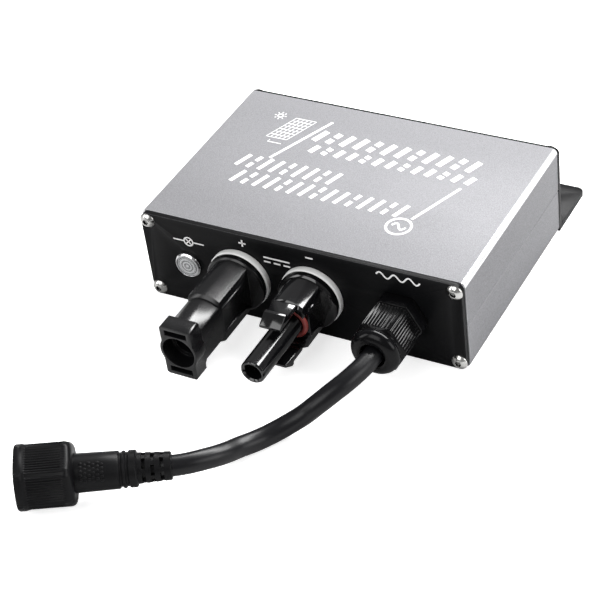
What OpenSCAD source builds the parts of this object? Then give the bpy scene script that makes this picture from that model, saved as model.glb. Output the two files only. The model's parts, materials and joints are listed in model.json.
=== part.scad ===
// Grid-tie micro inverter: a flat extruded aluminium case with two solar connectors, a status light
// and a short AC cable that ends in a round screw-on plug.
// Frame: origin at the centre of the case's bottom face, +X along the connector face,
// +Y towards the mounting flange, +Z up. Millimetres.

/* [Case] */
// Width of the case along its connector face
case_w = 124; // [120:1:150]
// Length of the two extruded shells
case_l = 80; // [78:1:110]
// Height of the two shells together
case_h = 36; // [34:1:44]
// Wall thickness of the shells
wall = 2; // [1.6:0.1:2.4]
// Radius along the four long outer edges
edge_r = 2; // [1:0.1:2.4]
// Width of the tongue where the shells meet
tongue_w = 0.8; // [0.6:0.1:1]

/* [End plates] */
// Thickness of the front plate
plate_t = 2; // [1.5:0.1:3]
// Thickness of the bent rear plate
rear_t = 1.5; // [1.2:0.1:2.5]
// Corner radius of the front plate
plate_corner_r = 3; // [2:0.1:4]
// How far the front plate stays inside the case at each side
front_inset = 0.4; // [0:0.1:0.8]
// How far the rear plate stands past the case at each side
rear_overhang = 0.2; // [0:0.1:1]
// How far the rear plate's top edge stays below the case's top
rear_drop = 0.4; // [0:0.1:0.8]
// Depth of the mounting flange behind the rear plate
flange_depth = 24; // [20:0.5:30]
// Radius of the mounting holes in the flange
mount_hole_r = 2.6; // [2:0.1:3.2]
// Distance between the mounting holes
mount_spacing = 90; // [60:1:96]

/* [Fasteners] */
// Radius of the M3 end-plate screws
screw_r = 1.45; // [1.2:0.05:1.5]
// Head radius of those screws
screw_head_r = 3; // [2.6:0.1:3]
// Distance of each screw from the case's sides
screw_inset = 3.1; // [3.1:0.1:3.6]
// Length of the screws under the head
screw_len = 12; // [8:1:16]

/* [Status light] */
// Place of the light along the front plate
status_x = -44.2; // [-46:0.1:-43]
// Outer radius of its metal bezel
bezel_r = 5.1; // [4.6:0.1:5.6]
// Radius of its threaded barrel
barrel_r = 3.9; // [3.6:0.1:4.2]

/* [Solar connectors] */
// Place of the positive connector along the front plate
plus_x = -23; // [-24:0.1:-21]
// Place of the negative connector along the front plate
minus_x = 5.2; // [4:0.1:7]
// Radius of the white sealing washers
washer_r = 11.6; // [11:0.1:12.2]
// Thickness of the sealing washers
washer_t = 2.5; // [1.5:0.1:3]
// Radius of the round connector barrels
housing_r = 10.3; // [9.9:0.1:10.8]
// Half the width across the barrels' flats
housing_flat = 6; // [6:0.1:6.5]
// Radius of the threaded shanks that pass through the front plate
shank_r = 6; // [5.5:0.1:6.2]
// Radius of the positive connector's mouth
mouth_r = 6.1; // [5.9:0.1:6.2]
// Radius of the negative connector's nose
nose_r = 4.44; // [4.3:0.02:4.5]
// Radius of the negative connector's bore
nose_bore_r = 3.05; // [2.95:0.05:3.2]
// Distance from the front plate to the connector tips
connector_len = 43.5; // [40:0.5:50]

/* [Cable gland] */
// Place of the gland along the front plate
gland_x = 38.5; // [36:0.1:42]
// Width across the flats of the gland's hexagons
gland_af = 18; // [17:0.1:19]
// Length of the gland outside the front plate
gland_len = 22.5; // [20:0.5:26]
// Radius of the threaded part through the front plate
gland_thread_r = 7.5; // [7:0.1:7.8]

/* [AC cable and plug] */
// Radius of the cable
cable_r = 3.5; // [3:0.1:3.7]
// Largest radius of the plug body
plug_r = 6.35; // [6:0.05:6.6]
// Width across the flats of the coupling nut
plug_nut_af = 20.6; // [20:0.1:21.2]
// Length of the whole plug
plug_len = 48.8; // [48:0.1:52]
// Radial running clearance of the coupling nut
plug_running = 0.08; // [0.05:0.01:0.1]
// Heading of the plug on the floor, in degrees from +X
plug_heading = 210.5; // [208:0.5:214]
// Rise of the plug from its tail to its nut, in degrees
plug_rise = 2.5; // [2:0.5:3]

/* [Inside] */
// Height of the circuit board's underside
board_z = 8; // [7:0.1:9]
// Thickness of the circuit board
board_t = 1.6; // [1.2:0.1:2]
// Radius of the input capacitors
capacitor_r = 6.25; // [5:0.25:6.5]

/* [Hidden] */
$fn = 48;

// Gap between pieces that are assembled by hand
gap = 0.1;
// Overlap that keeps cuts clean
over = 1;
front_y = -case_l / 2;
rear_y = case_l / 2;
face_y = front_y - plate_t;
axis_z = case_h / 2 - 0.5;
seam_z = case_h / 2;
screw_x = case_w / 2 - screw_inset;
screw_z = case_h / 2 - screw_inset;
boss_r = screw_inset - 0.1;
inner_x = case_w / 2 - wall;
board_top = board_z + board_t;
headroom = case_h - wall - board_top;
gasket_w = 1.2;
gasket_l = 2;
seam_groove = 0.5;

// ---- outlines and helpers -------------------------------------------------------------------

module rounded_rect(w, h, r) {
  square([w - 2 * r, h], center = true);
  square([w, h - 2 * r], center = true);
  for (x = [-1, 1], z = [-1, 1])
    translate([x * (w / 2 - r), z * (h / 2 - r)]) circle(r);
}

// Places its children at the four end-plate screws of an outline centred on the case's axis.
module at_screws() {
  for (x = [-1, 1], z = [-1, 1])
    translate([x * screw_x, z * screw_z]) children();
}

// The case's inner outline, drawn in by a distance, with room for the screw channels.
module cavity_outline(inset) {
  difference() {
    square([2 * (inner_x - inset), case_h - 2 * (wall + inset)], center = true);
    at_screws() circle(boss_r + inset);
  }
}

module shell_outline() {
  difference() {
    rounded_rect(case_w, case_h, edge_r);
    cavity_outline(0);
    at_screws() circle(screw_r + gap / 2);
    for (x = [-1, 1])
      translate([x * case_w / 2, seam_z - case_h / 2]) rotate(45) square(seam_groove, center = true);
  }
}

// Extrudes an outline along the case, from its rear end to a length in front of it.
module along_case(y, l) {
  translate([0, y, case_h / 2]) rotate([90, 0, 0]) linear_extrude(l) children();
}

// A frame on the front plate's outer face: its z points out of the face and its y points up.
module on_face(x) {
  translate([x, face_y, axis_z]) rotate([90, 0, 0]) children();
}

module ring(r_out, r_in, h) {
  difference() {
    cylinder(r = r_out, h = h);
    translate([0, 0, -over]) cylinder(r = r_in, h = h + 2 * over);
  }
}

// A hexagonal prism, across flats, with one flat up.
module hexagon(af, h) {
  cylinder(r = af / sqrt(3), h = h, $fn = 6);
}

// A hexagonal prism with its corners rounded to a circle.
module soft_hexagon(af, corner_r, h) {
  intersection() {
    hexagon(af, h);
    cylinder(r = corner_r, h = h);
  }
}

// A round bar with two flats at plus and minus x.
module flatted(r, flat, h) {
  intersection() {
    cylinder(r = r, h = h);
    translate([-flat, -r - over, 0]) cube([2 * flat, 2 * (r + over), h]);
  }
}

module block(size, at) {
  translate([at[0] - size[0] / 2, at[1] - size[1] / 2, at[2]]) cube(size);
}

function unit(v) = v / norm(v);
function ahead(p, i) = unit(p[min(i + 1, len(p) - 1)] - p[max(i - 1, 0)]);
function side(t) = unit(cross(t, abs(t[2]) < 0.9 ? [0, 0, 1] : [1, 0, 0]));
function carried(n, t) = unit(n - (n * t) * t);
function sides_of(p, i) = i == 0 ? side(ahead(p, 0)) : carried(sides_of(p, i - 1), ahead(p, i));

// A tube swept along a list of points, one ring at each point.
module tube(p, r, n) {
  rings = len(p);
  points = [
    for (i = [0:rings - 1], k = [0:n - 1])
      let (t = ahead(p, i), u = sides_of(p, i), v = cross(t, u), a = 360 * k / n)
      p[i] + r * (cos(a) * u + sin(a) * v)
  ];
  walls = [
    for (i = [0:rings - 2], k = [0:n - 1])
      let (a = i * n + k, b = i * n + (k + 1) % n)
      each [[a, a + n, b + n], [a, b + n, b]]
  ];
  end = (rings - 1) * n;
  first = [for (k = [1:n - 2]) [0, k, k + 1]];
  last = [for (k = [1:n - 2]) [end, end + k + 1, end + k]];
  polyhedron(points = points, faces = concat(walls, first, last));
}

// ---- case -----------------------------------------------------------------------------------

module upper_shell() {
  color("silver")
    along_case(rear_y, case_l)
      difference() {
        shell_outline();
        translate([-case_w, -case_h]) square([2 * case_w, seam_z + case_h / 2]);
        for (x = [-1, 1])
          translate([x * (case_w - wall) / 2, seam_z - case_h / 2])
            square([tongue_w + 2 * gap, 2 * (tongue_w + 2 * gap)], center = true);
      }
}

board_rail_w = 2;
board_rail_t = 1.2;
rail_end = gasket_l + gap;

module lower_shell() {
  color("silver")
    along_case(rear_y, case_l) {
      difference() {
        shell_outline();
        translate([-case_w, seam_z - case_h / 2]) square([2 * case_w, case_h]);
      }
      for (x = [-1, 1])
        translate([x * (case_w - wall) / 2, seam_z - case_h / 2])
          square([tongue_w, 2 * tongue_w], center = true);
    }
  color("silver")
    along_case(rear_y - rail_end, case_l - 2 * rail_end)
      for (x = [-1, 1], z = [board_z - gap - board_rail_t, board_top + gap])
        translate([x * (inner_x - board_rail_w / 2 + gap), z + board_rail_t / 2 - case_h / 2])
          square([board_rail_w + 2 * gap, board_rail_t], center = true);
}

status_hole_r = barrel_r + gap;
shank_hole_r = shank_r + gap;
gland_hole_r = gland_thread_r + gap;
screw_hole_r = screw_r + 2 * gap;

module front_plate() {
  color("#1b1b1d")
    along_case(front_y, plate_t)
      difference() {
        rounded_rect(case_w - 2 * front_inset, case_h, plate_corner_r);
        at_screws() circle(screw_hole_r);
        translate([0, axis_z - case_h / 2]) {
          translate([status_x, 0]) circle(status_hole_r);
          translate([plus_x, 0]) circle(shank_hole_r);
          translate([minus_x, 0]) circle(shank_hole_r);
          translate([gland_x, 0]) circle(gland_hole_r);
        }
      }
}

rear_w = case_w + 2 * rear_overhang;
rear_corner_r = edge_r + rear_overhang;
flange_end = rear_y + rear_t + flange_depth;
mount_y = flange_end - flange_depth / 2 + 1;

// The upright plate, with only its top corners rounded.
module rear_upright() {
  along_case(rear_y + rear_t, rear_t)
    difference() {
      union() {
        translate([0, -rear_drop / 2]) rounded_rect(rear_w, case_h - rear_drop, rear_corner_r);
        translate([-rear_w / 2, -case_h / 2]) square([rear_w, case_h / 2]);
      }
      at_screws() circle(screw_hole_r);
    }
}

// The foot, with only its outer corners rounded.
module rear_foot() {
  linear_extrude(rear_t)
    difference() {
      translate([0, (rear_y + rear_t + flange_end) / 2]) {
        rounded_rect(rear_w, flange_depth, plate_corner_r);
        translate([-rear_w / 2, -flange_depth / 2]) square([rear_w, flange_depth / 2]);
      }
      for (x = [-1, 1])
        translate([x * mount_spacing / 2, mount_y]) circle(mount_hole_r);
    }
}

// The bent plate. The heads of the two lower screws sit in round notches in its foot.
module rear_plate() {
  color("#1b1b1d")
    difference() {
      union() {
        rear_upright();
        rear_foot();
      }
      translate([0, rear_y + rear_t, case_h / 2]) rotate([-90, 0, 0])
        at_screws() cylinder(r = screw_head_r + 2 * gap, h = screw_head_h + gap);
    }
}

module gasket() {
  difference() {
    cavity_outline(gap / 2);
    cavity_outline(gap / 2 + gasket_w);
  }
}

module front_gasket() {
  color("#303030") along_case(front_y + gasket_l, gasket_l) gasket();
}

module rear_gasket() {
  color("#303030") along_case(rear_y, gasket_l) gasket();
}

// ---- fasteners ------------------------------------------------------------------------------

screw_head_h = 1.65;
socket_af = 2;
socket_depth = 1;
head_ball_r = (screw_head_r * screw_head_r + screw_head_h * screw_head_h) / (2 * screw_head_h);

// A button-head screw with a hexagon socket, with its head's underside at z = 0.
module button_screw(l) {
  difference() {
    union() {
      rotate_extrude()
        intersection() {
          square([screw_head_r, screw_head_h]);
          translate([0, screw_head_h - head_ball_r]) circle(head_ball_r);
        }
      translate([0, 0, -l]) cylinder(r = screw_r, h = l + socket_depth / 4);
    }
    translate([0, 0, screw_head_h - socket_depth]) hexagon(socket_af, socket_depth + over);
  }
}

module front_screws() {
  color("#c8c8c8")
    translate([0, face_y, case_h / 2]) rotate([90, 0, 0])
      at_screws() button_screw(screw_len);
}

module rear_screws() {
  color("#c8c8c8")
    translate([0, rear_y + rear_t, case_h / 2]) rotate([-90, 0, 0])
      at_screws() button_screw(screw_len);
}

// ---- status light ---------------------------------------------------------------------------

bezel_t = 1.7;
bezel_recess_r = bezel_r - 0.8;
bezel_recess = 0.9;
lens_r = 3;
lens_cap_r = bezel_recess_r - 0.3;
barrel_in = 10;
status_nut_t = 2.5;
led_r = 1.5;

module status_bezel() {
  color("#d0d0d0")
    on_face(status_x)
      difference() {
        union() {
          cylinder(r = bezel_r, h = bezel_t - 0.6);
          translate([0, 0, bezel_t - 0.6]) cylinder(r1 = bezel_r, r2 = bezel_r - 0.6, h = 0.6);
          translate([0, 0, -barrel_in]) cylinder(r = barrel_r, h = barrel_in + bezel_t / 2);
        }
        translate([0, 0, -barrel_in - over]) cylinder(r = lens_r, h = barrel_in + bezel_t + 2 * over);
        translate([0, 0, bezel_t - bezel_recess]) cylinder(r = bezel_recess_r, h = over);
      }
}

module status_lens() {
  color("#e8eef2")
    on_face(status_x) {
      translate([0, 0, -2]) cylinder(r = lens_r - gap / 2, h = bezel_t + 1.8);
      translate([0, 0, bezel_t - bezel_recess]) cylinder(r = lens_cap_r, h = bezel_recess - 0.4);
      for (r = [0.9:1:2.9])
        translate([0, 0, bezel_t - 0.5]) ring(r + 0.5, r, 0.4);
    }
}

module status_led() {
  color("#f0f4f0")
    on_face(status_x) {
      translate([0, 0, -8]) cylinder(r = led_r + 0.4, h = 1);
      translate([0, 0, -7]) cylinder(r = led_r, h = 2.5);
      translate([0, 0, -4.5]) sphere(led_r);
    }
}

module status_nut() {
  color("#b0b0b0")
    on_face(status_x)
      translate([0, 0, -plate_t - status_nut_t])
        difference() {
          hexagon(10, status_nut_t);
          translate([0, 0, -over]) cylinder(r = barrel_r + gap / 2, h = status_nut_t + 2 * over);
        }
}

led_leg_x = 0.9;

module status_leads() {
  color("#b8b8b8")
    for (s = [-1, 1])
      translate([status_x + s * led_leg_x, face_y, 0])
        tube([[0, 8, axis_z], [0, 12, axis_z], [0, 14.5, axis_z - 1], [0, 16, axis_z - 3.5],
              [0, 16, board_top]], 0.35, 8);
}

// ---- solar connectors -----------------------------------------------------------------------

flange_r = washer_r - 0.3;
flange_t = 2.5;
shank_in = 9;
contact_in = 13;
lock_nut_af = 18;
lock_nut_t = 4;
barrel_z = washer_t + flange_t;

module sealing_washer() {
  difference() {
    union() {
      cylinder(r = washer_r, h = washer_t - 0.5);
      translate([0, 0, washer_t - 0.5]) cylinder(r1 = washer_r, r2 = washer_r - 0.5, h = 0.5);
    }
    translate([0, 0, -over]) cylinder(r = shank_r + gap, h = washer_t + 2 * over);
  }
}

module lock_nut() {
  translate([0, 0, -plate_t - lock_nut_t])
    difference() {
      hexagon(lock_nut_af, lock_nut_t);
      translate([0, 0, -over]) cylinder(r = shank_r + gap / 2, h = lock_nut_t + 2 * over);
    }
}

// The shank, the round flange and the flatted barrel that both connectors start with.
module connector_root(barrel_end) {
  translate([0, 0, -shank_in]) cylinder(r = shank_r, h = shank_in + barrel_z);
  translate([0, 0, washer_t]) cylinder(r = flange_r, h = flange_t - 0.6);
  translate([0, 0, barrel_z - 0.6]) cylinder(r1 = flange_r, r2 = flange_r - 0.6, h = 0.6);
  translate([0, 0, barrel_z - 0.6]) flatted(housing_r, housing_flat, barrel_end - barrel_z - 0.4);
  translate([0, 0, barrel_end - 1])
    intersection() {
      cylinder(r1 = housing_r, r2 = housing_r - 1, h = 1);
      translate([-housing_flat, -housing_r, 0]) cube([2 * housing_flat, 2 * housing_r, 1]);
    }
}

module plus_washer() {
  color("white") on_face(plus_x) sealing_washer();
}

module plus_lock_nut() {
  color("#222222") on_face(plus_x) lock_nut();
}

plus_barrel_end = 25;
waist_r = housing_r - 1.5;
block_len = 6;
block_z = connector_len - block_len;
block_h = 20.4;
latch_slot = [8.5, 2.2, 6];
latch_slot_z = mouth_r + 0.5;
contact_r = 2;
mouth_deep = block_len - 0.2;
nose_seat_r = nose_r + 0.16;
nose_seat_deep = 24;
pin_tip = connector_len - 9.5;

module plus_housing() {
  color("#161618")
    on_face(plus_x)
      difference() {
        union() {
          connector_root(plus_barrel_end);
          translate([0, 0, barrel_z]) flatted(waist_r, housing_flat, block_z + 1 - barrel_z);
          translate([0, 0, block_z - 1])
            intersection() {
              cylinder(r1 = waist_r, r2 = block_h / 2 + 0.4, h = 2);
              translate([-housing_flat, -block_h / 2, 0]) cube([2 * housing_flat, block_h, 2]);
            }
          translate([0, 0, block_z]) linear_extrude(block_len) {
            rounded_rect(2 * housing_flat, block_h, 1);
            circle(mouth_r + 0.95);
          }
          for (x = [-1, 1], z = [-1, 1])
            translate([x * housing_flat - 0.4, z * 5 - 0.4, barrel_z + 3])
              cube([0.8, 0.8, plus_barrel_end - barrel_z - 5]);
        }
        translate([0, 0, connector_len - mouth_deep]) cylinder(r = mouth_r, h = mouth_deep + over);
        translate([0, 0, connector_len - nose_seat_deep]) cylinder(r = nose_seat_r, h = nose_seat_deep);
        translate([0, 0, -shank_in - over]) cylinder(r = contact_r + gap / 2, h = connector_len);
        for (z = [-1, 1])
          translate([-latch_slot[0] / 2, z * (latch_slot_z + latch_slot[1] / 2) - latch_slot[1] / 2,
                     connector_len - latch_slot[2]])
            cube([latch_slot[0], latch_slot[1], latch_slot[2] + over]);
      }
}

module plus_contact() {
  color("#d8d8d0")
    on_face(plus_x) {
      translate([0, 0, -contact_in]) cylinder(r = contact_r, h = contact_in + pin_tip - 1.5);
      translate([0, 0, pin_tip - 1.5]) cylinder(r1 = contact_r, r2 = contact_r - 1.2, h = 1.5);
    }
}

// A lead from a contact's tail down to the board.
module contact_lead(x) {
  translate([x, face_y + contact_in, 0])
    tube([[0, 0, axis_z], [0, 1.5, axis_z], [0, 4, axis_z - 1.2], [0, 5.5, axis_z - 3.5],
          [0, 5.5, board_top]], 1.2, 8);
}

module plus_lead() {
  color("#b01818") contact_lead(plus_x);
}

module minus_washer() {
  color("white") on_face(minus_x) sealing_washer();
}

module minus_lock_nut() {
  color("#222222") on_face(minus_x) lock_nut();
}

minus_barrel_end = 18;
recess_r = 7.5;
recess_deep = 3;
latch_pivot_z = minus_barrel_end + 0.2;
latch_pivot_r = 8.9;
latch_bead_r = 1;
latch_w = 8;
socket_tip = connector_len - 6.5;

module minus_housing() {
  color("#161618")
    on_face(minus_x)
      difference() {
        union() {
          difference() {
            connector_root(minus_barrel_end);
            translate([0, 0, minus_barrel_end - recess_deep]) cylinder(r = recess_r, h = recess_deep + over);
          }
          translate([0, 0, barrel_z]) cylinder(r = nose_r, h = connector_len - barrel_z - 0.6);
          translate([0, 0, connector_len - 0.6]) cylinder(r1 = nose_r, r2 = nose_r - 0.4, h = 0.6);
          for (x = [-1, 1], z = [-1, 1])
            translate([x * housing_flat - 0.4, z * 5 - 0.4, barrel_z + 2])
              cube([0.8, 0.8, minus_barrel_end - barrel_z - 6]);
        }
        translate([0, 0, -shank_in - over]) cylinder(r = nose_bore_r, h = shank_in + connector_len + 2 * over);
        translate([0, 0, connector_len - 0.5])
          cylinder(r1 = nose_bore_r, r2 = nose_bore_r + 0.7, h = 0.7);
        for (z = [-1, 1])
          translate([-latch_w / 2 - 0.3, z * latch_pivot_r, latch_pivot_z]) rotate([0, 90, 0])
            cylinder(r = latch_bead_r + gap / 2, h = latch_w + 0.6);
      }
}

module minus_contact() {
  color("#d8d8d0")
    on_face(minus_x)
      difference() {
        translate([0, 0, -contact_in]) cylinder(r = nose_bore_r - gap / 2, h = contact_in + socket_tip);
        translate([0, 0, socket_tip - 14]) cylinder(r = contact_r, h = 14 + over);
      }
}

module minus_lead() {
  color("#202020") contact_lead(minus_x);
}

seal_ring_r = 0.9;

module minus_seal_ring() {
  color("#a03a30")
    on_face(minus_x)
      translate([0, 0, minus_barrel_end - recess_deep + seal_ring_r])
        rotate_extrude() translate([nose_r + seal_ring_r + gap / 4, 0]) circle(seal_ring_r);
}

latch_len = 11.3;

// One snap arm seen from the side: x runs out of the face from the pivot, y away from the nose.
module latch_outline() {
  circle(latch_bead_r);
  polygon([[0, -latch_bead_r], [latch_len, -1.7], [latch_len, -0.7], [7.2, 2],
           [5.8, 2], [5.8, latch_bead_r], [0, latch_bead_r]]);
}

module latch_arm() {
  translate([-latch_w / 2, latch_pivot_r, latch_pivot_z])
    rotate([90, 0, 90]) linear_extrude(latch_w) rotate(90) mirror([0, 1]) latch_outline();
}

module minus_latch_upper() {
  color("#1c1c1e") on_face(minus_x) latch_arm();
}

module minus_latch_lower() {
  color("#1c1c1e") on_face(minus_x) mirror([0, 1, 0]) latch_arm();
}

// ---- cable gland ----------------------------------------------------------------------------

gland_base_l = 5.5;
gland_corner_r = gland_af / 2 + 1;
gland_core_r = 6.6;
gland_core_l = 15;
gland_bore_r = 5.2;
gland_in = 9;
gland_mouth_r = cable_r + 0.85;
cap_z = gland_base_l + 0.4;
cap_skirt_end = 17.8;
cap_dome_r = gland_af / 2 - 0.3;

module gland_body() {
  color("#1a1a1c")
    on_face(gland_x)
      difference() {
        union() {
          soft_hexagon(gland_af, gland_corner_r, gland_base_l);
          translate([0, 0, -gland_in]) cylinder(r = gland_thread_r, h = gland_in + gland_base_l / 2);
          cylinder(r = gland_core_r, h = gland_core_l);
        }
        translate([0, 0, -gland_in - over]) cylinder(r = cable_r + 0.4, h = gland_core_l + gland_in);
        translate([0, 0, gland_base_l]) cylinder(r = gland_bore_r, h = gland_core_l);
      }
}

module gland_seal() {
  color("#2c2c2e")
    on_face(gland_x)
      translate([0, 0, gland_base_l + gap])
        ring(gland_bore_r - gap / 2, cable_r - gap, gland_core_l - gland_base_l);
}

module gland_cap() {
  color("#1a1a1c")
    on_face(gland_x)
      difference() {
        union() {
          translate([0, 0, cap_z]) soft_hexagon(gland_af, gland_corner_r, cap_skirt_end - cap_z);
          translate([0, 0, cap_skirt_end]) cylinder(r = cap_dome_r, h = 1.7);
          translate([0, 0, cap_skirt_end + 1.7])
            cylinder(r1 = cap_dome_r, r2 = cap_dome_r - 2.6, h = gland_len - cap_skirt_end - 1.7);
        }
        translate([0, 0, cap_z - over]) cylinder(r = gland_core_r + gap, h = gland_core_l - cap_z + over + 0.3);
        translate([0, 0, gland_core_l]) cylinder(r1 = gland_core_r, r2 = gland_mouth_r, h = 3);
        translate([0, 0, gland_core_l]) cylinder(r = gland_mouth_r, h = gland_len);
      }
}

module gland_lock_nut() {
  color("#222222")
    on_face(gland_x)
      translate([0, 0, -plate_t - lock_nut_t])
        difference() {
          hexagon(19, lock_nut_t);
          translate([0, 0, -over]) cylinder(r = gland_thread_r + gap / 2, h = lock_nut_t + 2 * over);
        }
}

// ---- AC cable and plug ----------------------------------------------------------------------

mouth_y = face_y - gland_len;
nut_rim_r = 11.7;
plug_dir = [cos(plug_rise) * cos(plug_heading), cos(plug_rise) * sin(plug_heading), sin(plug_rise)];
plug_rest_z = nut_rim_r + 0.05;
plug_tail = [gland_x - 41.3, mouth_y - 61.5, plug_rest_z - plug_len * sin(plug_rise)];
cable_in_plug = 6;
// Sideways and forwards from the gland's mouth, then height above the floor.
cable_points = [
  [0, 26, axis_z], [0, 19.5, axis_z], [0, 12.5, axis_z], [0, 5.5, axis_z], [0, 0, axis_z],
  [-0.7, -4.5, axis_z - 0.4], [-3, -11.1, axis_z - 1.6], [-6.7, -17, axis_z - 3.9],
  [-10.3, -20.9, 10.8], [-13.8, -23.6, 7.8],
  [-17.5, -26.9, 5.6], [-21.4, -31.3, 4.1], [-25.1, -36.4, 3.7], [-28.2, -42, 4.7],
  [-30.3, -48.2, 6.7], [-33, -53.2, 8.2]
];
cable_route = concat(
  [for (p = cable_points) [gland_x + p[0], mouth_y + p[1], p[2]]],
  [plug_tail - 2 * plug_dir, plug_tail + cable_in_plug * plug_dir]
);

module ac_cable() {
  color("#151517") tube(cable_route, cable_r, 12);
}

// The plug's own frame: its z runs along the plug from the cable end to the coupling nut.
module on_plug() {
  translate(plug_tail) rotate([0, 90 - plug_rise, plug_heading]) children();
}

relief_l = 10.6;
relief_slots = [2.9, 5.8, 8.7];
collar_end = 13.5;
plug_nut_z = 30.6;
nut_back_t = 3.2;
shoulder_z = plug_nut_z + nut_back_t + 0.2;
shoulder_t = 1.6;
shoulder_r = 8.5;
insert_r = 7;
insert_end = plug_len - 5.3;
insert_z = shoulder_z + shoulder_t;

module relief_slot_row(turn) {
  difference() {
    ring(cable_r + 3, cable_r + 0.4, 1.2);
    for (k = [0:3])
      rotate(turn + 90 * k) translate([0, -0.9, -over]) cube([cable_r + 4, 1.8, 1.2 + 2 * over]);
  }
}

module ac_plug_body() {
  color("#19191b")
    on_plug()
      difference() {
        union() {
          cylinder(r1 = plug_r - 1.8, r2 = plug_r - 1.3, h = relief_l);
          translate([0, 0, relief_l]) cylinder(r = plug_r - 0.35, h = collar_end - relief_l);
          translate([0, 0, collar_end]) cylinder(r = plug_r - 0.7, h = 4);
          translate([0, 0, collar_end + 0.9]) cylinder(r = plug_r - 0.35, h = 1.1);
          translate([0, 0, 16.6]) cylinder(r1 = plug_r - 0.3, r2 = plug_r, h = plug_nut_z - 17);
          translate([0, 0, plug_nut_z - 0.4]) cylinder(r = plug_r, h = shoulder_z - plug_nut_z + 0.6);
          translate([0, 0, shoulder_z]) cylinder(r = shoulder_r, h = shoulder_t);
        }
        translate([0, 0, -over]) cylinder(r = cable_r - gap / 2, h = cable_in_plug + over);
        for (k = [0:2])
          translate([0, 0, relief_slots[k] - 0.6]) relief_slot_row(45 * k);
      }
}

nut_hex_r = 11.2;
nut_cavity_r = 9;
nut_rim_t = 2;
nut_corner_r = 12;

module ac_plug_nut() {
  color("#1b1b1d")
    on_plug()
      difference() {
        union() {
          translate([0, 0, plug_nut_z])
            intersection() {
              rotate(15) soft_hexagon(plug_nut_af, nut_hex_r, plug_len - plug_nut_z - nut_rim_t / 2);
              union() {
                cylinder(r1 = nut_hex_r - 2.8, r2 = nut_hex_r, h = 2.8);
                translate([0, 0, 2.8]) cylinder(r = nut_hex_r, h = plug_len - plug_nut_z);
              }
            }
          translate([0, 0, plug_len - nut_rim_t]) cylinder(r = nut_rim_r, h = nut_rim_t);
          translate([0, 0, plug_len - nut_rim_t / 2])
            rotate(15) cylinder(r = nut_corner_r, h = nut_rim_t / 2, $fn = 6);
        }
        translate([0, 0, plug_nut_z - over]) cylinder(r = plug_r + plug_running, h = nut_back_t + 2 * over);
        translate([0, 0, plug_nut_z + nut_back_t]) cylinder(r = nut_cavity_r, h = plug_len);
      }
}

pin_ring_r = 2.9;
pin_r = 1.1;

module at_pins() {
  for (k = [0:2])
    rotate(120 * k + 15) translate([pin_ring_r, 0, 0]) children();
}

module ac_plug_insert() {
  color("#26262a")
    on_plug()
      difference() {
        translate([0, 0, insert_z]) cylinder(r = insert_r, h = insert_end - insert_z);
        translate([0, 0, insert_z + 2]) cylinder(r = insert_r - 1.2, h = plug_len);
        at_pins() translate([0, 0, insert_z - over]) cylinder(r = pin_r, h = 4);
      }
}

module ac_plug_pins() {
  color("#d6b656")
    on_plug()
      at_pins() {
        translate([0, 0, insert_z]) cylinder(r = pin_r, h = insert_end - insert_z - 1.6);
        translate([0, 0, insert_end - 1.6]) cylinder(r1 = pin_r, r2 = pin_r - 0.6, h = 0.6);
      }
}

module ac_plug_seal() {
  color("#303034")
    on_plug() translate([0, 0, insert_z]) ring(shoulder_r - 0.2, insert_r + gap / 2, 1.6);
}

// ---- circuit board and what stands on it ----------------------------------------------------

// Places on the board: x, then distance behind the shells' front ends.
board_margin = 6;
board_l = case_l - 2 * board_margin;
terminal_at = [gland_x, 19];
transformer_at = [-2, 42];
capacitor_at = [[-38, 30], [-24, 30], [-38, 45], [-24, 45]];
choke_at = [30, 41];
relay_at = [50, 37];
film_at = [[24, 61], [38, 61]];
fuse_at = [51, 60];
varistor_at = [54, 22];
chips_at = [[-34, 62], [-14, 62], [4, 62]];

function on_board(at) = [at[0], front_y + at[1], board_top];

module main_board() {
  color("#1f5c34")
    block([2 * (inner_x - 4 * gap), board_l, board_t], [0, 0, board_z]);
}

module input_capacitors() {
  color("#20242c")
    for (at = capacitor_at)
      translate(on_board(at)) {
        cylinder(r = capacitor_r - 0.4, h = 2.5);
        translate([0, 0, 2]) cylinder(r = capacitor_r, h = headroom - 6.4);
      }
}

bobbin_t = 1.5;
core_size = [30, 26, headroom - 4.4 - bobbin_t];
core_leg = 9;
core_yoke = 5;

module transformer_core() {
  color("#3a3a3e")
    translate(on_board(transformer_at) + [0, 0, bobbin_t])
      difference() {
        block(core_size, [0, 0, 0]);
        for (x = [-1, 1])
          block([(core_size[0] - core_leg) / 2 - core_yoke, core_size[1] + 2 * over,
                 core_size[2] - 2 * core_yoke],
                [x * (core_leg / 2 + ((core_size[0] - core_leg) / 2 - core_yoke) / 2), 0, core_yoke]);
      }
}

module transformer_bobbin() {
  color("#1a1a1a")
    translate(on_board(transformer_at))
      block([core_size[0], core_size[1] + 6, bobbin_t], [0, 0, 0]);
}

module transformer_winding() {
  window = (core_size[0] - core_leg) / 2 - core_yoke;
  turns_h = core_size[2] - 2 * core_yoke - 2 * gap;
  color("#b87333")
    translate(on_board(transformer_at) + [0, 0, bobbin_t + core_yoke + gap])
      for (x = [-1, 1])
        block([window - 2 * gap, core_size[1] + 3, turns_h], [x * (core_leg + window) / 2, 0, 0]);
}

spreader_t = 4;
pad_t = 0.5;
spreader_y = [20, 68];
spreader_z = 2.4;
spreader_h = case_h / 2 + screw_z - boss_r - 5 * gap - board_top - spreader_z;
transistor_y = [26, 38, 50, 62];
transistor_t = 4.5;
transistor_w = 8.8;
clamp_t = 1.4;
spreader_x = -inner_x + pad_t;
transistor_x = spreader_x + spreader_t;
clamp_x = transistor_x + transistor_t;
clamp_screw_y = [32, 56];

module wall_strip(x, t, h) {
  translate([x, front_y + spreader_y[0], board_top + spreader_z])
    cube([t, spreader_y[1] - spreader_y[0], h]);
}

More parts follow.
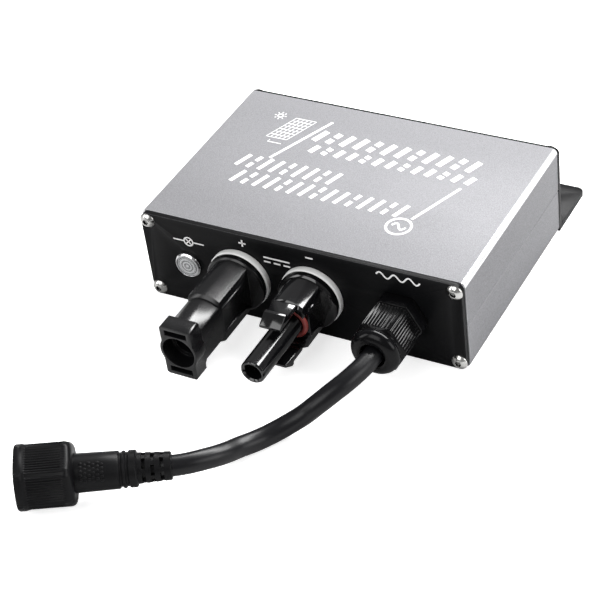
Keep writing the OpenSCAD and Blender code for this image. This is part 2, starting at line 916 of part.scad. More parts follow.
module thermal_pad() {
  color("#8a8f9c") wall_strip(-inner_x, pad_t, spreader_h);
}

module at_clamp_screws() {
  for (y = clamp_screw_y)
    translate([spreader_x, front_y + y, board_top + spreader_z + spreader_h / 2]) rotate([0, 90, 0]) children();
}

module heat_spreader() {
  color("#c0c4c8")
    difference() {
      wall_strip(spreader_x, spreader_t, spreader_h);
      at_clamp_screws() translate([0, 0, -over]) cylinder(r = screw_r + gap / 2, h = spreader_t + 2 * over);
    }
}

module power_transistors() {
  color("#18181a")
    for (y = transistor_y)
      translate([transistor_x, front_y + y, board_top]) {
        translate([0, -transistor_w / 2, 4]) cube([transistor_t, transistor_w, 9]);
        translate([0, -transistor_w / 2, 12]) cube([1.3, transistor_w, 6]);
        for (k = [-1:1])
          translate([2, 2.54 * k - 0.4, 0]) cube([0.6, 0.8, 4.5]);
      }
}

module clamp_bar() {
  color("#9a9ca0")
    difference() {
      translate([clamp_x, front_y + spreader_y[0], board_top + spreader_z + spreader_h / 2 - 3])
        cube([clamp_t, spreader_y[1] - spreader_y[0], 6]);
      at_clamp_screws() cylinder(r = screw_r + gap, h = 3 * spreader_t);
    }
}

module clamp_screws() {
  color("#c8c8c8")
    at_clamp_screws()
      translate([0, 0, clamp_x + clamp_t - spreader_x]) button_screw(clamp_x + clamp_t - spreader_x - 0.3);
}

choke_r = [5, 9];
choke_h = 7;
choke_wire = 1;

module choke_core() {
  color("#2e6b4a")
    translate(on_board(choke_at) + [0, 0, choke_wire + gap]) ring(choke_r[1], choke_r[0], choke_h);
}

module choke_winding() {
  color("#b87333")
    translate(on_board(choke_at))
      for (turn = [20, 200])
        rotate(turn) rotate_extrude(angle = 140)
          difference() {
            translate([choke_r[0] - choke_wire - gap, 0])
              square([choke_r[1] - choke_r[0] + 2 * (choke_wire + gap), choke_h + 2 * (choke_wire + gap)]);
            translate([choke_r[0] - gap, choke_wire])
              square([choke_r[1] - choke_r[0] + 2 * gap, choke_h + 2 * gap]);
          }
}

module film_capacitors() {
  color("#c9a227")
    for (at = film_at)
      translate(on_board(at)) block([12, 13, 15], [0, 0, 0]);
}

module relay() {
  color("#2458a8") translate(on_board(relay_at)) block([12, 20, 15], [0, 0, 0]);
}

fuse_r = 2.6;
fuse_l = 20;
fuse_z = 5;

module fuse() {
  color("#e4e0d4")
    translate(on_board(fuse_at) + [0, fuse_l / 2, fuse_z]) rotate([90, 0, 0]) cylinder(r = fuse_r, h = fuse_l);
}

module fuse_clips() {
  color("#c0c0c0")
    for (y = [-1, 1])
      translate(on_board(fuse_at) + [0, y * (fuse_l / 2 - 3), 0])
        difference() {
          block([2 * fuse_r + 2, 4, fuse_z + 1], [0, 0, 0]);
          translate([0, over + 2, fuse_z]) rotate([90, 0, 0]) cylinder(r = fuse_r + gap / 2, h = 4 + 2 * over);
          block([2 * fuse_r - 1, 4 + 2 * over, fuse_z], [0, 0, fuse_z]);
        }
}

module varistor() {
  color("#2a6fb0")
    translate(on_board(varistor_at)) {
      translate([0, 2, 7]) rotate([90, 0, 0]) cylinder(r = 5, h = 4);
      for (x = [-1, 1])
        translate([2.5 * x, 0, 0]) cylinder(r = 0.4, h = 4);
    }
}

module control_chips() {
  color("#1c1c1e")
    for (at = chips_at)
      translate(on_board(at)) block([10, 7, 1.6], [0, 0, 0]);
}

terminal_size = [16, 10, 11];
terminal_pitch = 5;
lead_r = 0.9;

module terminal_block() {
  color("#3a8f4a")
    translate(on_board(terminal_at))
      difference() {
        block(terminal_size, [0, 0, 0]);
        for (k = [-1:1])
          translate([terminal_pitch * k, -terminal_size[1] / 2 + 4, 5]) rotate([90, 0, 0])
            cylinder(r = 1.4, h = 4 + over);
      }
}

// One core of the AC cable, from the sheath's end to its terminal.
module core_lead(k, start) {
  entry = front_y + terminal_at[1] - terminal_size[1] / 2;
  translate([gland_x, 0, 0])
    tube([[start[0], mouth_y + 26, axis_z + start[1]], [start[0], mouth_y + 31.5, axis_z + start[1]],
          [(start[0] + 5 * k) / 2, entry - 3, (axis_z + start[1] + board_top + 5) / 2],
          [terminal_pitch * k, entry - 0.5, board_top + 5.2], [terminal_pitch * k, entry + 3, board_top + 5]],
         lead_r, 8);
}

module live_lead() {
  color("#7a4a20") core_lead(-1, [-1.6, -0.9]);
}

module neutral_lead() {
  color("#2050a0") core_lead(1, [1.6, -0.9]);
}

module earth_lead() {
  color("#3c9a3c") core_lead(0, [0, 1.7]);
}

upper_shell();
lower_shell();
front_plate();
rear_plate();
front_gasket();
rear_gasket();
front_screws();
rear_screws();
status_bezel();
status_lens();
status_led();
status_nut();
status_leads();
plus_washer();
plus_housing();
plus_contact();
plus_lock_nut();
plus_lead();
minus_washer();
minus_housing();
minus_contact();
minus_seal_ring();
minus_latch_upper();
minus_latch_lower();
minus_lock_nut();
minus_lead();
gland_body();
gland_seal();
gland_cap();
gland_lock_nut();
ac_cable();
ac_plug_body();
ac_plug_nut();
ac_plug_insert();
ac_plug_pins();
ac_plug_seal();
main_board();
input_capacitors();
transformer_core();
transformer_bobbin();
transformer_winding();
heat_spreader();
thermal_pad();
power_transistors();
clamp_bar();
clamp_screws();
choke_core();
choke_winding();
film_capacitors();
relay();
fuse();
fuse_clips();
varistor();
control_chips();
terminal_block();
live_lead();
neutral_lead();
earth_lead();
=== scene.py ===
"""A grid-tie micro inverter: a flat aluminium case, two solar connectors, and a short AC cable
that ends in a round plug."""

import json
import math

import bpy
from mathutils import Matrix, Vector

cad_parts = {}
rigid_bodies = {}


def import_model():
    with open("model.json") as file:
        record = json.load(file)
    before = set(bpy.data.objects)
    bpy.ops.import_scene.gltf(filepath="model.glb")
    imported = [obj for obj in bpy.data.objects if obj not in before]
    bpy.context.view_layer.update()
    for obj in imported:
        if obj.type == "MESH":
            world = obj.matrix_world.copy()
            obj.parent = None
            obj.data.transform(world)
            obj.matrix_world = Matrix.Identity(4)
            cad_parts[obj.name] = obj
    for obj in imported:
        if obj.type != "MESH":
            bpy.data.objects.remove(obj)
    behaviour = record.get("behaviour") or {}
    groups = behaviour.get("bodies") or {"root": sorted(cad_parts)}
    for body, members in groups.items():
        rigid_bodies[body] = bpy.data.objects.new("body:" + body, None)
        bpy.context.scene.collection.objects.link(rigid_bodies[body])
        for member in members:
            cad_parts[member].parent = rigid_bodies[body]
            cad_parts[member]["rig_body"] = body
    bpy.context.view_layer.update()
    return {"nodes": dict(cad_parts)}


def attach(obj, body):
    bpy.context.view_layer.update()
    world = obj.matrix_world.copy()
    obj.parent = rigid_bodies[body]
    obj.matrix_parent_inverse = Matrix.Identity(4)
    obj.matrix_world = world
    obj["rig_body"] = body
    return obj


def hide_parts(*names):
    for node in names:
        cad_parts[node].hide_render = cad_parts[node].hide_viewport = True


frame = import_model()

MM = 0.001


# ---- Studio ---------------------------------------------------------------------------------
# A pale seamless floor in soft light: a faint wide sheet high behind the case, a bright narrow
# panel behind it that draws the long highlights on the black plastics, and soft fills in front,
# at the right and at the left.

camera_data = bpy.data.cameras.new("camera")
camera_data.lens = 111.4
camera_data.sensor_width = 36
camera_data.clip_start = 0.01
camera = bpy.data.objects.new("camera", camera_data)
bpy.context.scene.collection.objects.link(camera)
bpy.context.scene.camera = camera
camera_at = (0.2698, -0.4614, 0.4128)
camera_turn, camera_height = math.radians(32.795), math.radians(38.694)
camera_roll = math.radians(-8.065)
towards_camera = Vector((
    math.sin(camera_turn) * math.cos(camera_height),
    -math.cos(camera_turn) * math.cos(camera_height),
    math.sin(camera_height),
))
level = Vector((math.cos(camera_turn), math.sin(camera_turn), 0))
above = towards_camera.cross(level)
camera_right = math.cos(camera_roll) * level + math.sin(camera_roll) * above
camera_up = towards_camera.cross(camera_right)
camera.matrix_world = (
    Matrix.Translation(camera_at)
    @ Matrix((camera_right, camera_up, towards_camera)).transposed().to_4x4()
)

floor_grey, mirrored_grey, floor_lift = 0.88, 0.55, 0.68
bpy.ops.object.select_all(action="DESELECT")
bpy.ops.mesh.primitive_plane_add(size=8, location=(0, 0, 0))
floor = bpy.context.object
floor.name = "studio_floor"
floor_paint = bpy.data.materials.new("floor_paint")
floor_paint.use_nodes = True
tree = floor_paint.node_tree
floor_shader = tree.nodes["Principled BSDF"]
floor_shader.inputs["Roughness"].default_value = 0.9
floor_shader.inputs["Specular IOR Level"].default_value = 0.0
floor_shader.inputs["Emission Color"].default_value = (1, 1, 1, 1)
ray = tree.nodes.new("ShaderNodeLightPath")
# The floor is greyer where it is mirrored, so that black pieces on it stay black.
mirrored = tree.nodes.new("ShaderNodeMix")
mirrored.data_type = "RGBA"
mirrored.inputs[6].default_value = (*[floor_grey] * 3, 1)
mirrored.inputs[7].default_value = (*[mirrored_grey] * 3, 1)
tree.links.new(ray.outputs["Is Glossy Ray"], mirrored.inputs[0])
tree.links.new(mirrored.outputs[2], floor_shader.inputs["Base Color"])
lift = tree.nodes.new("ShaderNodeMath")
lift.operation = "MULTIPLY"
lift.inputs[1].default_value = floor_lift
tree.links.new(ray.outputs["Is Camera Ray"], lift.inputs[0])
tree.links.new(lift.outputs[0], floor_shader.inputs["Emission Strength"])
floor.data.materials.append(floor_paint)

sky_on_pieces, sky_behind = 0.22, 1.0
world = bpy.data.worlds.new("studio")
bpy.context.scene.world = world
world.use_nodes = True
tree = world.node_tree
sky = tree.nodes["Background"]
sky.inputs["Color"].default_value = (1, 1, 1, 1)
ray = tree.nodes.new("ShaderNodeLightPath")
sky_strength = tree.nodes.new("ShaderNodeMapRange")
sky_strength.inputs["To Min"].default_value = sky_on_pieces
sky_strength.inputs["To Max"].default_value = sky_behind
tree.links.new(ray.outputs["Is Camera Ray"], sky_strength.inputs["Value"])
tree.links.new(sky_strength.outputs[0], sky.inputs["Strength"])
bpy.context.scene.view_settings.view_transform = "Standard"


def soft_light(name, at, aim, size, power):
    """A rectangular light turned towards a point. Places are in metres, and power in watts."""
    light = bpy.data.lights.new(name, "AREA")
    light.shape = "RECTANGLE"
    light.size, light.size_y = size
    light.energy = power
    holder = bpy.data.objects.new(name, light)
    holder.location = at
    holder.rotation_euler = (Vector(aim) - Vector(at)).to_track_quat("-Z", "Y").to_euler()
    bpy.context.scene.collection.objects.link(holder)


soft_light("high_sheet", (-0.5, 0.8, 1.0), (0, -0.02, 0), (1.6, 1.1), 0.8)
soft_light("rear_key", (0.13, 0.55, 0.76), (0, -0.07, 0.02), (1.0, 0.28), 21)
soft_light("front_fill", (-0.2, -1.0, 0.95), (0, -0.03, 0), (0.9, 0.9), 8)
soft_light("side_fill", (1.3, -0.1, 0.55), (0.05, 0, 0.02), (0.8, 0.8), 8)
soft_light("left_strip", (-0.8, -0.6, 0.45), (0, -0.06, 0.02), (0.25, 0.7), 2.2)


# ---- AC cable -------------------------------------------------------------------------------
# A round three-core cable in a smooth black jacket. It leaves the gland, drops to the floor
# and rises a little into its plug, whose nut rests on the floor.

def node_group(name, inputs, outputs):
    """A shader node group with named float, colour or vector sockets, and its two end nodes."""
    group = bpy.data.node_groups.new(name, "ShaderNodeTree")
    for label, kind, value in inputs:
        socket = group.interface.new_socket(label, in_out="INPUT", socket_type=kind)
        socket.default_value = value
    for label, kind in outputs:
        group.interface.new_socket(label, in_out="OUTPUT", socket_type=kind)
    return group, group.nodes.new("NodeGroupInput"), group.nodes.new("NodeGroupOutput")


def placed(tree, kind, **values):
    """A new node, with its sockets set or linked by name."""
    node = tree.nodes.new(kind)
    for label, value in values.items():
        socket = node.inputs[label.replace("_", " ")]
        if isinstance(value, bpy.types.NodeSocket):
            tree.links.new(value, socket)
        else:
            socket.default_value = value
    return node


def worked(tree, operation, *values):
    """The output of one arithmetic node."""
    node = tree.nodes.new("ShaderNodeMath")
    node.operation = operation
    for socket, value in zip(node.inputs, values):
        if isinstance(value, bpy.types.NodeSocket):
            tree.links.new(value, socket)
        else:
            socket.default_value = value
    return node.outputs[0]


# Fine grain of a moulded or blasted surface: a height, and flecks from -1 to 1.
grain, g_in, g_out = node_group(
    "grain", [("Scale", "NodeSocketFloat", 2000.0), ("Detail", "NodeSocketFloat", 2.0)],
    [("Height", "NodeSocketFloat"), ("Fleck", "NodeSocketFloat")])
g_place = placed(grain, "ShaderNodeTexCoord").outputs["Object"]
g_noise = placed(grain, "ShaderNodeTexNoise", Vector=g_place, Scale=g_in.outputs["Scale"],
                 Detail=g_in.outputs["Detail"]).outputs["Fac"]
grain.links.new(g_noise, g_out.inputs["Height"])
grain.links.new(worked(grain, "MULTIPLY_ADD", g_noise, 4.0, -2.0), g_out.inputs["Fleck"])

# Handling marks: slow changes of roughness between two values.
smudges, s_in, s_out = node_group(
    "smudges", [("Scale", "NodeSocketFloat", 60.0), ("Low", "NodeSocketFloat", 0.3),
                ("High", "NodeSocketFloat", 0.4)], [("Roughness", "NodeSocketFloat")])
s_place = placed(smudges, "ShaderNodeTexCoord").outputs["Object"]
s_noise = placed(smudges, "ShaderNodeTexNoise", Vector=s_place, Scale=s_in.outputs["Scale"],
                 Detail=3.0, Distortion=0.6).outputs["Fac"]
s_map = placed(smudges, "ShaderNodeMapRange", Value=s_noise, From_Min=0.35, From_Max=0.65,
               To_Min=s_in.outputs["Low"], To_Max=s_in.outputs["High"])
smudges.links.new(s_map.outputs[0], s_out.inputs["Roughness"])

# Painted edge highlights, with wear: 1 along an outside or inside edge, 0 on open faces.
edge_sheen_wear, r_in, r_out = node_group(
    "edge_sheen_and_wear", [("Amount", "NodeSocketFloat", 1.0)], [("Mask", "NodeSocketFloat")])
r_bevel = placed(edge_sheen_wear, "ShaderNodeBevel", Radius=0.0004)
r_bevel.samples = 4
r_dot = edge_sheen_wear.nodes.new("ShaderNodeVectorMath")
r_dot.operation = "DOT_PRODUCT"
edge_sheen_wear.links.new(r_bevel.outputs["Normal"], r_dot.inputs[0])
edge_sheen_wear.links.new(placed(edge_sheen_wear, "ShaderNodeNewGeometry").outputs["True Normal"], r_dot.inputs[1])
r_edge = placed(edge_sheen_wear, "ShaderNodeMapRange", Value=r_dot.outputs["Value"], From_Min=0.99,
                From_Max=0.8, To_Min=0.0, To_Max=1.0)
edge_sheen_wear.links.new(worked(edge_sheen_wear, "MULTIPLY", r_edge.outputs[0], r_in.outputs["Amount"]),
                 r_out.inputs["Mask"])

# Painted shade in recesses, with the dirt that gathers there: 1 in a narrow one, 0 on open faces.
recess_darkening, c_in, c_out = node_group(
    "recess_shade_and_dirt", [("Reach", "NodeSocketFloat", 0.0025), ("Amount", "NodeSocketFloat", 1.0)],
    [("Mask", "NodeSocketFloat")])
c_open = placed(recess_darkening, "ShaderNodeAmbientOcclusion", Distance=c_in.outputs["Reach"])
c_open.samples = 4
c_mask = placed(recess_darkening, "ShaderNodeMapRange", Value=c_open.outputs["AO"], From_Min=0.88,
                From_Max=0.5, To_Min=0.0, To_Max=1.0)
recess_darkening.links.new(worked(recess_darkening, "MULTIPLY", c_mask.outputs[0], c_in.outputs["Amount"]),
                   c_out.inputs["Mask"])


def grouped(tree, group, **values):
    """A new node that holds a group, with its sockets set or linked by name."""
    node = tree.nodes.new("ShaderNodeGroup")
    node.node_tree = group
    for label, value in values.items():
        if isinstance(value, bpy.types.NodeSocket):
            tree.links.new(value, node.inputs[label])
        else:
            node.inputs[label].default_value = value
    return node


def blended(tree, mask, first, second):
    """The colour output of a mix of two colours, each a socket or an (r, g, b) value."""
    node = tree.nodes.new("ShaderNodeMix")
    node.data_type = "RGBA"
    sockets = node.inputs[0], node.inputs[6], node.inputs[7]
    for socket, value in zip(sockets, (mask, first, second)):
        if isinstance(value, bpy.types.NodeSocket):
            tree.links.new(value, socket)
        elif isinstance(value, (tuple, list)):
            socket.default_value = (*value, 1)
        else:
            socket.default_value = value
    return node.outputs[2]


def surface(name, colour, low, high, metal=0.0, specular=0.5, grain_scale=2500.0,
            grain_depth=0.02, fleck=0.06, edge=None, edge_amount=0.5, smudge_scale=70.0,
            dirt_and_shade=0.0):
    """A finish with grain, handling marks, lighter edges that paint edge highlights and wear, and,
    where asked, painted shade with dirt in recesses. Returns the material, tree, shader and the
    colour's socket, so that a section can work a pattern of its own into it."""
    finish = bpy.data.materials.new(name)
    finish.use_nodes = True
    tree = finish.node_tree
    shader = tree.nodes["Principled BSDF"]
    shader.inputs["Metallic"].default_value = metal
    shader.inputs["Specular IOR Level"].default_value = specular
    grains = grouped(tree, grain, Scale=grain_scale)
    darker = tuple(c * (1 - fleck) for c in colour)
    lighter = tuple(min(1, c * (1 + fleck)) for c in colour)
    flecks = worked(tree, "MULTIPLY_ADD", grains.outputs["Fleck"], 0.5, 0.5)
    paint = blended(tree, flecks, darker, lighter)
    # Painted edge highlights, with wear: the colour turns lighter along edges.
    edge_lightening = grouped(tree, edge_sheen_wear, Amount=edge_amount)
    edge = edge or tuple(min(1, c * 1.8 + 0.01) for c in colour)
    paint = blended(tree, edge_lightening.outputs["Mask"], paint, edge)
    # Painted shade, with dirt: recesses darken towards near black.
    if dirt_and_shade:
        darkened = grouped(tree, recess_darkening, Amount=dirt_and_shade)
        paint = blended(tree, darkened.outputs["Mask"], paint, (0.004, 0.004, 0.004))
    tree.links.new(paint, shader.inputs["Base Color"])
    marks = grouped(tree, smudges, Scale=smudge_scale, Low=low, High=high)
    tree.links.new(marks.outputs["Roughness"], shader.inputs["Roughness"])
    bump = placed(tree, "ShaderNodeBump", Strength=grain_depth * 10, Distance=0.0001,
                  Height=grains.outputs["Height"])
    tree.links.new(bump.outputs["Normal"], shader.inputs["Normal"])
    return finish, tree, shader, paint


gland_x, gland_mouth_y, axis_z = 38.5 * MM, -64.5 * MM, 17.5 * MM
cable_radius = 3.5 * MM
# The plug's own axis starts at the end of its bend relief. It heads this far round from +X and
# climbs by this much, both in degrees.
plug_tail = Vector((-2.8, -126.0, 9.62137)) * MM
plug_heading, plug_climb = 210.5, 2.5
plug_frame = (
    Matrix.Translation(plug_tail)
    @ Matrix.Rotation(math.radians(plug_heading), 4, "Z")
    @ Matrix.Rotation(math.radians(90 - plug_climb), 4, "Y")
)
plug_way = plug_frame.to_3x3() @ Vector((0, 0, 1))
# Sideways and forwards from the gland's mouth, then height above the floor, in millimetres.
cable_points = [
    (0, 26, 17.5), (0, 19.5, 17.5), (0, 12.5, 17.5), (0, 5.5, 17.5), (0, 0, 17.5),
    (-0.7, -4.5, 17.1), (-3, -11.1, 15.9), (-6.7, -17, 13.6), (-10.3, -20.9, 10.8),
    (-13.8, -23.6, 7.8),
    (-17.5, -26.9, 5.6), (-21.4, -31.3, 4.1), (-25.1, -36.4, 3.7), (-28.2, -42, 4.7),
    (-30.3, -48.2, 6.7), (-33, -53.2, 8.2),
]
cable_route = [Vector((gland_x + x * MM, gland_mouth_y + y * MM, z * MM))
               for x, y, z in cable_points]
cable_route += [plug_tail - 2 * MM * plug_way, plug_tail + 6 * MM * plug_way]
cable_line = bpy.data.curves.new("ac_cable_jacket", "CURVE")
cable_line.dimensions = "3D"
cable_line.bevel_depth = cable_radius
cable_line.bevel_resolution = 8
cable_line.resolution_u = 14
cable_line.use_fill_caps = True
run = cable_line.splines.new("BEZIER")
run.bezier_points.add(len(cable_route) - 1)
for knot, point in zip(run.bezier_points, cable_route):
    knot.co = point
    knot.handle_left_type = knot.handle_right_type = "AUTO"
cable = bpy.data.objects.new("ac_cable_jacket", cable_line)
bpy.context.scene.collection.objects.link(cable)
jacket, *_ = surface("black_jacket", (0.004, 0.004, 0.005), 0.33, 0.37, specular=0.27,
                     grain_scale=900, grain_depth=0.012, edge_amount=0)
cable.data.materials.append(jacket)
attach(cable, "case")
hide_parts("ac_cable")


# ---- Plug body ------------------------------------------------------------------------------
# Black plastic moulded onto the cable in one shot: a slotted bend relief, a grip collar and a
# plain barrel with two patches of small raised dots. A shoulder inside the nut holds the nut on.

def turned(name, rings, shape, sides, at):
    """A hollow round piece drawn up along its own axis from rings of (height, radius), in
    millimetres. The last ring meets the first. shape(angle, ring number, height, radius) may
    change a radius."""
    bpy.ops.object.select_all(action="DESELECT")
    bpy.ops.mesh.primitive_circle_add(vertices=sides, radius=1, fill_type="NOTHING")
    piece = bpy.context.object
    piece.name = name
    piece.data.name = name
    bpy.ops.object.mode_set(mode="EDIT")
    bpy.ops.mesh.select_mode(type="VERT")
    bpy.ops.mesh.select_all(action="SELECT")
    for _ in rings[1:]:
        bpy.ops.mesh.extrude_region_move(TRANSFORM_OT_translate={"value": (0, 0, 1)})
    bpy.ops.object.mode_set(mode="OBJECT")
    for vertex in piece.data.vertices:
        number = round(vertex.co.z)
        height, radius = rings[number]
        angle = math.atan2(vertex.co.y, vertex.co.x)
        radius = shape(angle, number, height, radius)
        vertex.co = Vector((radius * math.cos(angle), radius * math.sin(angle), height)) * MM
    piece.data.transform(at)
    bpy.ops.object.mode_set(mode="EDIT")
    bpy.ops.mesh.select_all(action="SELECT")
    bpy.ops.mesh.remove_doubles(threshold=1e-6)
    bpy.ops.mesh.normals_make_consistent(inside=False)
    bpy.ops.object.mode_set(mode="OBJECT")
    return piece


def softened(piece, width, smooth=35):
    """Rounds a piece's sharp edges and shades the rest smooth. The width is in millimetres, and
    0 leaves the edges as they are."""
    bpy.ops.object.select_all(action="DESELECT")
    piece.select_set(True)
    bpy.context.view_layer.objects.active = piece
    if width:
        bevel = piece.modifiers.new("edges", "BEVEL")
        bevel.width = width * MM
        bevel.segments = 2
        bevel.limit_method = "ANGLE"
        bevel.angle_limit = math.radians(32)
        bevel.use_clamp_overlap = True
        bevel.miter_outer = "MITER_ARC"
        bpy.ops.object.modifier_apply(modifier=bevel.name)
    bpy.ops.object.shade_smooth_by_angle(angle=math.radians(smooth))


# The rings between which the bend relief is slotted, and which of them are turned by half a slot.
relief_rows = {4: 0, 5: 0, 8: 1, 9: 1, 12: 0, 13: 0}
slots_in_row, slot_share, slot_depth, web_depth = 6, 0.68, 1.15, 0.12
plug_body_rings = [
    (0, 3.45), (0, 4.35), (0.25, 4.6), (2.25, 4.68), (2.35, 4.68), (3.45, 4.72), (3.55, 4.72),
    (5.15, 4.8), (5.25, 4.8), (6.35, 4.85), (6.45, 4.85), (8.05, 4.93), (8.15, 4.93), (9.25, 4.98),
    (9.35, 4.98), (10.7, 5.03), (10.95, 5.75), (11.25, 6.0), (13.15, 6.0), (13.5, 5.7),
    (13.7, 5.45), (14.25, 5.45), (14.5, 5.85), (14.7, 6.0), (15.25, 6.0), (15.5, 5.8),
    (15.7, 5.5), (16.3, 5.5), (16.5, 5.95), (16.8, 6.1), (23.5, 6.22), (30.2, 6.35),
    (35.2, 6.35), (35.2, 8.5), (35.4, 8.5), (35.4, 3.45),
]


def relief_slots(angle, number, height, radius):
    """Six slots to a row, with a web between each two."""
    if number not in relief_rows:
        return radius
    turn = (math.degrees(angle) / (360 / slots_in_row) + 0.5 * relief_rows[number]) % 1
    web = (1 - slot_share) / 2
    return radius - (slot_depth if web < turn < 1 - web else web_depth)


plug_body = turned("plug_body", plug_body_rings, relief_slots, sides=180, at=plug_frame)
softened(plug_body, 0)
moulded, *_ = surface("moulded_black_plug", (0.004, 0.004, 0.0045), 0.34, 0.46, specular=0.12,
                      grain_scale=2600, grain_depth=0.02, edge_amount=0.3)
plug_body.data.materials.append(moulded)
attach(plug_body, "case")
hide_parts("ac_plug_body")

# Two patches of dots, on opposite sides. Angles are in degrees and lengths in millimetres.
dot_patches, dot_rows, dots_in_row = (133.5, 313.5), 6, 5
first_dot, dot_pitch, dot_step, dot_seat = 21.6, 1.35, 12.0, 6.25
bpy.ops.object.select_all(action="DESELECT")
dots = []
for side in dot_patches:
    for row in range(dot_rows):
        for k in range(dots_in_row):
            turn = side + (k - (dots_in_row - 1) / 2 + 0.5 * (row % 2) - 0.25) * dot_step
            dot_at = ((dot_seat + 0.01 * row) * MM, 0, (first_dot + dot_pitch * row) * MM)
            bpy.ops.mesh.primitive_uv_sphere_add(segments=10, ring_count=6, radius=MM)
            dot = bpy.context.object
            dot.data.transform(Matrix.Diagonal((0.22, 0.5, 0.62, 1)))
            dot.data.transform(Matrix.Translation(dot_at))
            dot.data.transform(Matrix.Rotation(math.radians(turn), 4, "Z"))
            dot.data.transform(plug_frame)
            dot.location = (0, 0, 0)
            dots.append(dot)
for dot in dots:
    dot.select_set(True)
bpy.context.view_layer.objects.active = dots[0]
bpy.ops.object.join()
grip = bpy.context.object
grip.name = "plug_grip_dots"
softened(grip, 0, smooth=60)
grip.data.materials.append(moulded)
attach(grip, "case")


# ---- Coupling nut ---------------------------------------------------------------------------
# The moulded hexagonal nut that turns on the plug body and screws onto a round socket. Fine
# ribs cover its six sides, and its rim flares to small points at the corners.

def hex_reach(angle, across, turn, corner):
    """Distance from the axis to a hexagon's side at an angle, with its corners cut round."""
    local = (math.degrees(angle) - turn) % 60 - 30
    return min(corner, across / 2 / math.cos(math.radians(local)))


def ribs_on(angle, across, turn, count, flat):
    """0 to 1 across the ribs of one side of a hexagon, and 0 on its plain corners."""
    local = (math.degrees(angle) - turn) % 60 - 30
    along = math.tan(math.radians(local)) * across / 2 / flat
    if abs(along) > 1:
        return 0
    return 0.5 - 0.5 * math.cos(2 * math.pi * count * (along + 1) / 2)


nut_across, nut_turn, nut_corner = 20.6, 15, 11.25
# Each side has ribs this far out from its middle, in millimetres. The rim's points stand out by
# rim_point and fade within a few degrees of their corner.
nut_ribs, nut_ribbed_half = 12, 5.4
rim_low, rim_high, rim_outside, rim_point, rim_point_half = 47, 48.7, 10, 0.3, 4
thread_top, thread_pitch, thread_turns = 46.6, 1.6, 6
# Height, radius, how far the ring follows the hexagon, how deep its ribs are.
nut_rings = [
    (30.6, 6.43, 0, 0), (30.6, 8.2, 0, 0), (30.75, 8.9, 0.3, 0), (31.2, 9.6, 0.7, 0),
    (31.9, 10.1, 0.9, 0), (32.8, 10.3, 1, 0), (33.4, 10.3, 1, 0.1), (34.2, 10.3, 1, 0.45),
    (44.9, 10.3, 1, 0.45), (45.3, 10.3, 1, 0), (45.9, 10.3, 1, 0), (46.3, 10.5, 0.9, 0),
    (46.8, 10.65, 0.5, 0), (47.1, 10.7, 0.5, 0), (48.5, 10.7, 0.5, 0), (48.8, 10.5, 0.5, 0),
    (48.8, 9.4, 0, 0), (48.5, 9.0, 0, 0),
]
for turn_of_thread in range(thread_turns):
    top = thread_top - thread_pitch * turn_of_thread
    nut_rings += [(top, 9.0, 0, 0), (top - 0.5, 8.55, 0, 0), (top - 0.9, 8.55, 0, 0),
                  (top - 1.4, 9.0, 0, 0)]
nut_rings += [(33.8, 9.0, 0, 0), (33.8, 6.43, 0, 0), (30.6, 6.43, 0, 0)]


def nut_shape(angle, number, height, radius):
    """Follows the hexagon, takes the grooves between the ribs out and adds the rim's points."""
    _, plain, follow, rib = nut_rings[number]
    hexed = hex_reach(angle, nut_across, nut_turn, nut_corner) - nut_across / 2 + plain
    reach = plain + follow * (hexed - plain)
    if rib:
        reach -= rib * (1 - ribs_on(angle, nut_across, nut_turn, nut_ribs, nut_ribbed_half))
    if rim_low < height < rim_high and plain > rim_outside:
        corner = abs((math.degrees(angle) - nut_turn) % 60 - 30)
        reach += rim_point * max(0, 1 - (30 - corner) / rim_point_half)
    return reach


coupling_nut = turned("coupling_nut", [r[:2] for r in nut_rings], nut_shape, sides=528,
                      at=plug_frame)
softened(coupling_nut, 0, smooth=40)
coupling_nut.data.materials.append(moulded)
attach(coupling_nut, "coupling_nut")
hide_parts("ac_plug_nut")
nodes = frame["nodes"]


# ---- Cable gland ----------------------------------------------------------------------------
# Glossy black nylon: a hexagonal base against the plate, and a cap whose ribbed hexagon tightens
# a domed mouth around the cable.

face_y = -42 * MM


def on_face(x, z):
    """Stands a piece on the front plate: its own z points out of the face and its y upwards."""
    return Matrix.Translation((x, face_y, z)) @ Matrix.Rotation(math.radians(90), 4, "X")


gloss, *_ = surface("gloss_black_nylon", (0.003, 0.003, 0.0035), 0.07, 0.13, specular=0.65,
                    grain_scale=1500, grain_depth=0.004, edge_amount=0.3)
# Painted shade, with dirt, darkens the grooves between the cap's ribs and other recesses.
cap_nylon, *_ = surface("ribbed_black_nylon", (0.003, 0.003, 0.0035), 0.14, 0.2, specular=0.16,
                        grain_scale=1500, grain_depth=0.006, edge_amount=0.15, dirt_and_shade=0.8)
cap_across, cap_corner, cap_ribs, cap_ribbed_half = 18.0, 10.1, 9, 5.05
# Height, radius, how far the ring follows the hexagon, how deep its ribs are.
cap_rings = [
    (5.9, 6.75, 0, 0), (5.9, 8.6, 0.6, 0), (6.1, 8.9, 1, 0), (6.5, 9.0, 1, 0.6),
    (16.9, 9.0, 1, 0.6), (17.3, 8.9, 1, 0.05), (17.6, 8.7, 0.6, 0), (17.9, 8.35, 0.1, 0),
    (18.2, 8.3, 0, 0), (18.6, 8.55, 0, 0), (19.1, 8.75, 0, 0), (19.8, 8.8, 0, 0),
    (20.5, 8.65, 0, 0), (21.2, 8.2, 0, 0), (21.8, 7.5, 0, 0), (22.25, 6.6, 0, 0),
    (22.45, 5.8, 0, 0), (22.5, 5.2, 0, 0), (22.35, 4.7, 0, 0), (22.0, 4.4, 0, 0),
    (17, 4.35, 0, 0), (16, 6.75, 0, 0), (5.9, 6.75, 0, 0),
]


